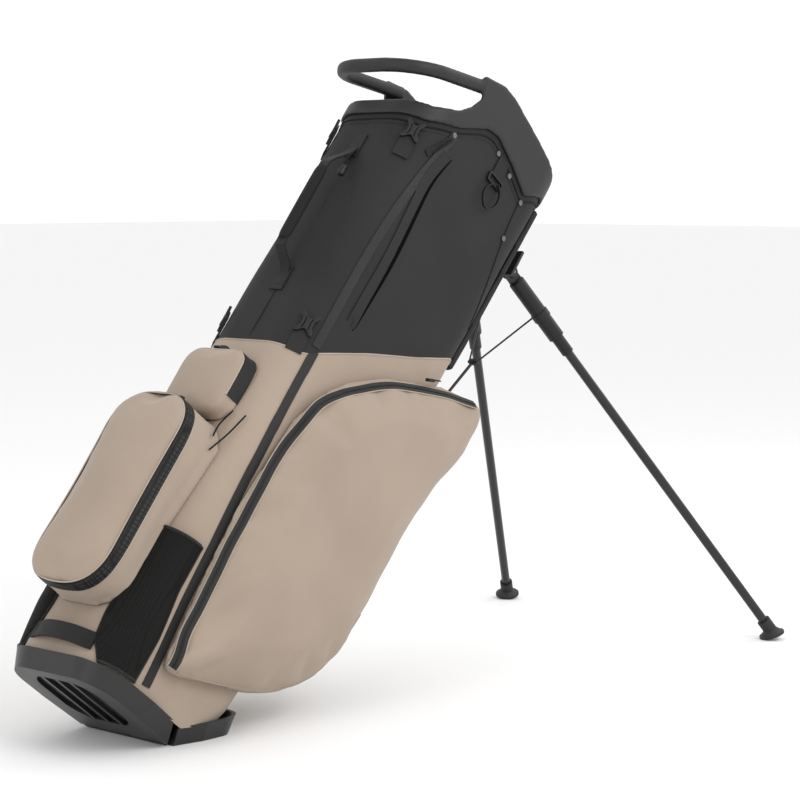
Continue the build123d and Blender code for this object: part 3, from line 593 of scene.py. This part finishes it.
def foot_of(share):
    """Where the lower cloth ends: on the base behind the crease, on the flap ahead of it."""
    level = 30.0
    for _ in range(6):
        u = round_body(share, level)[0]
        level = max(20.0, (FLOOR_CUT + u * sin(LEAN)) / cos(LEAN) - 1.5)
    return level


def lower_place(s, t):
    u = round_body(s, 480)[0]
    low, high = foot_of(s), along(COLOUR_LINE, u)
    level = low + (high - low) * t
    ease = min(1.0, (level - low) / 14.0)
    soft = 0.7 * sin(level / 31 + 9 * s * pi) * sin(level / 57 + 1.3) * ease
    u, v = round_body(s, level, soft - 1.2 * (1 - ease))
    # the foot is squarer where it fills the flap
    back, front, half = body_at(level)
    share = max(0.0, 1.0 - (level - 30.0) / 150.0)
    out_u, out_v = u - (front - CORNER), abs(v) - (half - CORNER)
    if out_u > 0:
        swell = 0.17 * share * sin(2 * atan2(max(out_u, 0.0), max(out_v, 0.01))) ** 2 if out_v > 0 else 0.0
        u = front - CORNER + out_u * (1 + swell + 0.15 * share)
        if out_v > 0:
            v = (half - CORNER + out_v * (1 + swell)) * (1 if v > 0 else -1)
    return u, v, level


def upper_place(s, t):
    u = round_body(s, 700)[0]
    low, high = along(COLOUR_LINE, round_body(s, 480)[0]), along(CUFF_EDGE, u) + 8.0
    level = low + (high - low) * t
    ease = min(1.0, (high - level) / 20.0, (level - low) / 20.0)
    soft = 0.9 * sin(level / 43 + 7 * s * pi) * sin(level / 71 + 0.4) * ease
    u, v = round_body(s, level, soft)
    return u, v, level


def cloth_tube(place, rows):
    tube = lean(sheet_of(120, rows, place))
    mend(tube)
    return tube


lower = cloth_tube(lower_place, 70)
press(lower, "SOLIDIFY", thickness=0.002, offset=-1.0)
done(lower, "lower_cloth", tan_cloth, body=None)
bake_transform(lower)
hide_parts("lower_shell")
upper = cloth_tube(upper_place, 70)
press(upper, "SOLIDIFY", thickness=0.002, offset=-1.0)
done(upper, "upper_cloth", black_cloth)
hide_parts("upper_shell")


def seam_round(table, drop, radius, name, material, onto, first=0.0, last=1.0, lift=0.0):
    """Piping round the tube at the level a table gives."""
    points = []
    for n in range(61):
        share = first + (last - first) * n / 60
        u = round_body(share, 480 if table is COLOUR_LINE else 780)[0]
        level = along(table, u) + drop
        points.append((*round_body(share, level, 0.2), level))
    return done(cord(points, radius, onto=onto, lift=lift), name, material)


seam_round(COLOUR_LINE, -1.0, 1.0, "colour_seam_piping", tan_piping, lower)
seam_round(CUFF_EDGE, -8.0, 1.3, "cuff_piping", black_trim, upper)
seam_round(CUFF_EDGE, -14.0, 0.5, "cuff_stitching", zip_tape, upper, lift=0.1)

# side stripe and front seams, both sides
STRIPE = [(-61, -81, 812), (-80, -81, 720), (-90, -81, 640), (-94, -81, 540), (-95, -81, 470)]
STRIPE_LOW = [(-95, -84, 466), (-97, -86, 360), (-97, -88, 250), (-93, -88, 140), (-84, -87, 30)]
for line, onto, label in ((STRIPE, upper, "stripe_top"), (STRIPE_LOW, lower, "stripe_low")):
    both_sides(ribbon(line, 12.0, 1.4, facing=(-0.25, -0.97, 0), onto=onto, lift=0.6, columns=6),
               label, binding)
PLACKET = [(-48, -81, 784), (-57, -81, 741), (-56, -81, 690), (-54, -81, 640), (-54, -81, 603), (-57, -81, 547),
           (-60, -81, 494)]
PLACKET_SHIFT = 9.0                                     # the flat strip lies this far back from the slot
SLOT_LEAST, SLOT_SWELL, SLOT_END = 1.2, 4.2, 0.86       # width of the open slot along the placket
both_sides(ribbon([(u - PLACKET_SHIFT, v, w) for u, v, w in PLACKET], 16.0, 1.4, onto=upper, lift=0.8, columns=6),
           "placket", black_cloth)
slot_line = laid_run(PLACKET, upper)


def slot_width(t):
    if t >= SLOT_END:
        return SLOT_LEAST
    return SLOT_LEAST + SLOT_SWELL * sin(pi * min(1.0, t * 1.15)) ** 0.8


# a near-black strip along the placket: painted shade where the open slot is in shadow
both_sides(laid_strip(slot_line, slot_width, 0.5, upper, lift=1.6), "placket_slot_shade", slot_shade_cloth)
both_sides(laid_cord(slot_line, 3.4, 0.7, lift=0.6), "placket_lip", black_trim)
SIDE_SEAM = [(86, -81, 829), (91, -81, 772), (104, -81, 708), (112, -80, 680), (120, -75, 650)]
both_sides(cord(SIDE_SEAM, 1.1, onto=upper), "side_seam", black_trim)
GARAGE = [(-86, -81, 764), (-76, -81, 780), (-62, -81, 806)]
both_sides(ribbon(GARAGE, 9.0, 1.8, onto=upper, lift=0.7), "zip_garage", webbing)
both_sides(cord([(-80, -83, 768), (-71, -84, 788), (-64, -83, 802)], 1.3), "zip_garage_cord", black_trim)

# ---------------------------------------------------------------- padded pockets
# back and top edge of the side pocket, where its zip runs
SIDE_ZIP = [(-80, 50), (-87, 80), (-90, 120), (-94, 186), (-96, 250), (-95, 314), (-91, 372), (-80, 412), (-54, 450),
            (-20, 481), (12, 505), (60, 532), (110, 556), (150, 572)]


def against_side(u, v, w):
    return abs(v) < body_at(w)[2] + 3.0 or (u > 118 and abs(v) < 74)


pocket = copy_of("apparel_pocket_near")
press(pocket, "REMESH", mode="VOXEL", voxel_size=0.006)
press(pocket, "SMOOTH", factor=0.5, iterations=7)
pocket = puff(pocket, against_side, voxel=6.0, cap=9.0, rounds=16)
done(pocket, "side_pocket_near", tan_cloth)
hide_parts("apparel_pocket_near")
far = other_side(pocket, "side_pocket_far", tan_cloth)
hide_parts("apparel_pocket_far")
zip_line = laid_run([(u, -112, w) for u, w in SIDE_ZIP], pocket, blur=14)
for width, thick, lift, label, finish in ((10.5, 1.4, 1.0, "side_zip_tape", zip_tape),
                                          (2.4, 1.2, 1.9, "side_zip_teeth", zip_teeth)):
    both_sides(laid_strip(zip_line, width, thick, pocket, lift=lift, columns=6), label, finish)
for offset, label in ((6.0, "inner"), (-6.0, "outer")):
    both_sides(laid_cord(zip_line, offset, 0.8, lift=0.6), f"side_piping_{label}", tan_piping)
LOW_EDGE = [(-66, 60), (-20, 70), (40, 92), (84, 116), (120, 150), (146, 196), (152, 260)]
both_sides(cord([(u, -102, w) for u, w in LOW_EDGE], 1.0, onto=pocket, lift=0.2), "side_low_piping", tan_cloth)


def against_back(u, v, w):
    return u > body_at(w)[0] - 5.0


def rounded_run(half, low, high, corner, u):
    """A rounded rectangle on the back of the bag, from the middle of its top round the near side."""
    points = [(u, 0, high), (u, -(half - corner), high)]
    for n in range(1, 6):
        a = pi / 2 * n / 6
        points.append((u, -(half - corner) - corner * sin(a), high - corner + corner * cos(a)))
    points += [(u, -half, high - corner), (u, -half, (low + high) / 2), (u, -half, low + corner)]
    for n in range(1, 6):
        a = pi / 2 * n / 6
        points.append((u, -(half - corner) - corner * cos(a), low + corner - corner * sin(a)))
    points += [(u, -(half - corner), low), (u, 0, low)]
    return points + [(p[0], -p[1], p[2]) for p in reversed(points[1:-1])] + [points[0]]


ball = puff(copy_of("ball_pocket"), against_back, voxel=5.0, cap=10.0, rounds=5)
done(ball, "ball_pocket_cloth", tan_cloth)
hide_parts("ball_pocket")
ball_line = laid_run(rounded_run(60, 84, 331, 42, -186), ball, blur=10)
done(laid_strip(ball_line, 15.0, 1.2, ball, lift=0.7, columns=8), "ball_gusset", scale_cloth)
# which side of the line is the pocket's front
side_way = 1.0 if ball_line[20][1].dot(spot(-1, 0, 0) - spot(0, 0, 0)) > 0 else -1.0
done(laid_strip(ball_line, 2.4, 1.2, ball, lift=1.5, offset=5.6 * side_way), "ball_zip_teeth", zip_teeth)
for offset, label in ((8.2, "front"), (-8.2, "back")):
    done(laid_cord(ball_line, offset * side_way, 0.9, lift=0.5), f"ball_piping_{label}", tan_piping)

pouch = puff(copy_of("accessory_pocket"), against_back, voxel=4.0, cap=7.0, rounds=5)
done(pouch, "pouch_cloth", tan_cloth)
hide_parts("accessory_pocket")
# the zip goes over the pouch's top and ends half way down its sides
near_edge = [p for p in rounded_run(50, 300, 424, 22, -140) if p[2] > 352 and p[1] <= 0]
near_edge = sorted(near_edge[:-1], key=lambda p: (-p[1], -p[2]))
pouch_edge = [(u, -v, w) for u, v, w in reversed(near_edge)] + near_edge[1:]
done(ribbon(pouch_edge, 20.0, 1.2, across=(1, 0, 0), onto=pouch, lift=0.6, columns=6), "pouch_zip_tape",
     zip_tape)
done(cord([(u - 12, v, w) for u, v, w in pouch_edge], 1.1, onto=pouch, lift=0.2), "pouch_piping", tan_piping)

pad = puff(copy_of("hip_pad"), lambda u, v, w: u < body_at(w)[1] + 3.0, voxel=4.0, cap=5.0, slim=2.5, rounds=4)
RIPPLE, RIPPLE_RUN = 1.3, 3.6       # quilted ripples up the pad's outer face
OUT_WAY = spot(1, 0, 0) - spot(0, 0, 0)
for vertex in pad.data.vertices:
    u, v, w = to_bag(vertex.co)
    depth = max(0.0, min(1.0, (u - body_at(w)[1] - 4.0) / 10.0))
    vertex.co += OUT_WAY * depth * RIPPLE * sin(w / RIPPLE_RUN + 0.02 * v)
done(pad, "hip_pad_cloth", black_cloth)
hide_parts("hip_pad")

# ---------------------------------------------------------------- moulded cuff, its edges eased
cuff = copy_of("top_cuff")
press(cuff, "REMESH", mode="VOXEL", voxel_size=0.0019)
press(cuff, "SMOOTH", factor=0.5, iterations=9)
done(cuff, "moulded_cuff", moulded, smooth=70)
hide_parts("top_cuff")

# ---------------------------------------------------------------- mesh sleeves
MESH_LOW, MESH_HIGH = 26.0, 190.0


def sleeve_place(s, t):
    """From the ball pocket round the back corner to the side stripe, fuller in the middle."""
    level = MESH_LOW + (MESH_HIGH - MESH_LOW) * t
    first = along([(26, 0.102), (50, 0.074), (80, 0.066), (200, 0.066)], level)
    last = along([(26, 0.176), (80, 0.168), (135, 0.151), (190, 0.145)], level)
    share = first + (last - first) * s
    full = 9.5 * (sin(pi * min(max(s, 0.0), 1.0)) ** 0.45) * (0.55 + 0.45 * min(1.0, t * 3))
    u, v = round_body(share, level, 1.0 + full)
    return u, v, level


sleeve = lean(sheet_of(28, 40, sleeve_place))
press(sleeve, "SOLIDIFY", thickness=0.0014, offset=0.0)
mend(sleeve, 0.00001)
done(sleeve, "mesh_sleeve_cloth_near", mesh_cloth)
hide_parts("mesh_sleeve_near")
far = other_side(sleeve, "mesh_sleeve_cloth_far", mesh_cloth)
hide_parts("mesh_sleeve_far")
for edge, label in ((1.0, "top"), (0.0, "foot")):
    both_sides(cord([sleeve_place(n / 16, edge) for n in range(17)], 2.2), f"sleeve_hem_{label}", binding)
for side_share, label in ((0.0, "back"), (1.0, "front")):
    both_sides(cord([sleeve_place(side_share, n / 16) for n in range(17)], 1.6), f"sleeve_edge_{label}", binding)

# ---------------------------------------------------------------- carry handle, loops and tabs
HANDLE = [(-122.5, 0, 757), (-123, 0, 742), (-130, 0, 727), (-148, 0, 703), (-151, 0, 690), (-151.2, 0, 640),
          (-151, 0, 583), (-147, 0, 572), (-130, 0, 562), (-124, 0, 552), (-124, 0, 536)]
strap = ribbon(HANDLE, 15.0, 2.2, across=(0, 1, 0), facing=(-1, 0, 0), columns=6)
done(strap, "carry_strap", webbing)
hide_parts("handle_strap")
GRIP_OUT, GRIP_LOW, GRIP_LENGTH = 151.2, 583, 107
GRIP_DEEP, GRIP_HALF = 5.6, 8.3


def grip_place(s, t):
    """The padded sleeve of the carry handle, fuller in the middle and drawn in at its ends."""
    turn = 2 * pi * s
    plump = 1.0 + 0.10 * sin(pi * t) - 0.25 * (abs(2 * t - 1) ** 10)
    return (-GRIP_OUT + GRIP_DEEP * cos(turn) * plump, -GRIP_HALF * sin(turn) * min(1.0, plump + 0.06),
            GRIP_LOW + GRIP_LENGTH * t)


grip = sheet_of(28, 30, grip_place)
mend(grip)
bpy.ops.object.mode_set(mode="EDIT")
bpy.ops.mesh.select_all(action="DESELECT")
bpy.ops.mesh.select_non_manifold()
bpy.ops.mesh.edge_face_add()
bpy.ops.object.mode_set(mode="OBJECT")
lean(grip)
done(grip, "carry_grip", grip_cloth)
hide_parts("handle_grip")
for level, label in ((746, "top"), (545, "foot")):
    tab = ribbon([(-123.5, 0, level + 17), (-124.5, 0, level), (-124.5, 0, level - 17)], 20.0, 1.6,
                 across=(0, 1, 0), facing=(-1, 0, 0), onto=upper, lift=1.2, columns=6)
    done(tab, f"carry_tab_{label}", black_cloth)
done(cord([(-126, -8, 735), (-134, -14, 722), (-140, -18, 706), (-139, -20, 697)], 1.3), "toggle_cord",
     black_trim)
clear_bench()
bpy.ops.mesh.primitive_cylinder_add(vertices=20, radius=0.0042, depth=0.014)
toggle = bpy.context.object
press(toggle, "BEVEL", width=0.0014, segments=3, limit_method="ANGLE")
toggle.data.transform(Matrix.Translation(Vector((-0.1385, -0.020, 0.6945))))
lean(toggle)
done(toggle, "toggle_lock", clip_plastic)

LOOP = [(-146.5, -50, 44), (-150, -40, 44), (-157, -24, 44), (-160, 0, 44), (-157, 24, 44), (-150, 40, 44),
        (-146.5, 50, 44)]
loop = ribbon(LOOP, 20.0, 2.0, across=(0, 0, 1), facing=(-1, 0, 0), columns=5)
done(loop, "grab_webbing", webbing)
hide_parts("grab_loop")

LEAF = [(34, -84.6, 813), (22, -85.5, 803), (18, -86.5, 788), (28, -86.5, 776), (40, -86, 779), (48, -85.5, 792),
        (46, -85, 806), (36, -84.6, 814)]
glove = ribbon(LEAF, 3.0, 1.2, across=(0, 1, 0), columns=3)
done(glove, "glove_webbing", webbing, "towel_ring")
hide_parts("glove_loop")
tab = ribbon([(31, -81, 850), (31, -82, 836), (31, -82.6, 822)], 20.0, 1.6, onto=upper, lift=0.9, columns=6)
done(tab, "ring_webbing", webbing)
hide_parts("ring_tab")

# strap buckles: the waisted frame and its arms, its slots, and its place on the bag
BUCKLE_WAIST, BUCKLE_ARM, ARM_SPREAD = 7.2, 10.0, 0.24
ARM_TURNS = (51, 129, 231, 309)
SLOT_OFF, SLOT_HALF, SLOT_REACH = 3.4, 0.9, 8
BUCKLE_CORNER, BUCKLE_PROUD = 42.0, 4.6       # how far round the back corner, and how far off the cloth


def strap_buckle(node, name, level):
    """Quick-release buckle for a shoulder strap: a waisted frame with four arms and two long slots."""
    clear_bench()
    bpy.ops.curve.primitive_bezier_circle_add()
    frame_line = bpy.context.object
    frame_line.data.splines.clear()
    outer = []
    for n in range(96):
        turn = 2 * pi * n / 96
        reach = BUCKLE_WAIST + BUCKLE_ARM * sum(exp(-((turn - radians(a)) / ARM_SPREAD) ** 2) for a in ARM_TURNS)
        outer.append((reach * cos(turn), reach * sin(turn)))
    rise = range(-SLOT_REACH, SLOT_REACH + 1, 4)
    walls = [(-SLOT_HALF, y) for y in rise] + [(SLOT_HALF, y) for y in reversed(rise)]
    slots = [[(way * (SLOT_OFF + 0.05 * y * y / 3.0 + x), y) for x, y in walls] for way in (1, -1)]
    for ring in [outer] + slots:
        spline = frame_line.data.splines.new("POLY")
        spline.points.add(len(ring) - 1)
        for point, (x, y) in zip(spline.points, ring):
            point.co = (x / 1000, y / 1000, 0.0, 1.0)
        spline.use_cyclic_u = True
    frame_line.data.dimensions = "2D"
    frame_line.data.fill_mode = "BOTH"
    frame_line.data.extrude = 0.0012
    frame_line.data.bevel_depth = 0.0005
    bpy.ops.object.convert(target="MESH")
    buckle = bpy.context.object
    turn = radians(BUCKLE_CORNER)
    back, front, half = body_at(level)
    reach = CORNER + BUCKLE_PROUD
    centre = Vector((back + CORNER - reach * cos(turn), -half + CORNER - reach * sin(turn), level)) / 1000
    axes = Matrix(((sin(turn), 0.0, -cos(turn)), (-cos(turn), 0.0, -sin(turn)), (0.0, 1.0, 0.0))).to_4x4()
    buckle.data.transform(Matrix.Translation(centre) @ axes)
    mend(lean(buckle), 0.00001)
    done(buckle, name + "_near", clip_plastic)
    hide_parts(node + "_near")
    far = other_side(buckle, name + "_far", clip_plastic)
    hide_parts(node + "_far")


strap_buckle("strap_clip_top", "strap_buckle_top", 778.0)
strap_buckle("strap_clip_bottom", "strap_buckle_bottom", 489.0)

# the two dark edges that run on below the pouch's zip
done(cord([(-134, -52, 352), (-140, -50, 330), (-150, -62, 308)], 1.0), "pouch_cord_one", black_trim)
done(cord([(-126, -66, 352), (-134, -64, 322), (-146, -63, 292)], 1.0), "pouch_cord_two", black_trim)

# ---------------------------------------------------------------- finishes of the frame's own pieces
FINISHES = {
    moulded: ["divider_frame", "leg_bracket"],
    boot_plastic: ["base_boot", "base_flap", "rod_clevis"],
    clip_plastic: ["rod_yoke", "leg_clip_near", "leg_clip_far", "leg_sleeve_near", "leg_sleeve_far"],
    leg_paint: ["leg_tube_near", "leg_tube_far", "push_rod"],
    black_steel: ["leg_wire_near", "leg_wire_far", "towel_ring", "ball_zip_pull_near", "ball_zip_pull_far",
                  "pouch_zip_pull", "apparel_zip_pull_near", "apparel_zip_pull_far"],
    bare_steel: ["crease_pin", "hinge_pins", "clevis_pin"],
    rivet_metal: ["rivets"],
    foot_rubber: ["leg_foot_near", "leg_foot_far"],
    lining: ["divider_back", "divider_front", "divider_middle"],
    black_cloth: ["clip_tab_top_near", "clip_tab_top_far", "clip_tab_bottom_near", "clip_tab_bottom_far"],
    rod_finish: ["stay_back", "stay_near", "stay_far"],
}
for finish, names in FINISHES.items():
    for name in names:
        nodes[name].data.materials.clear()
        nodes[name].data.materials.append(finish)
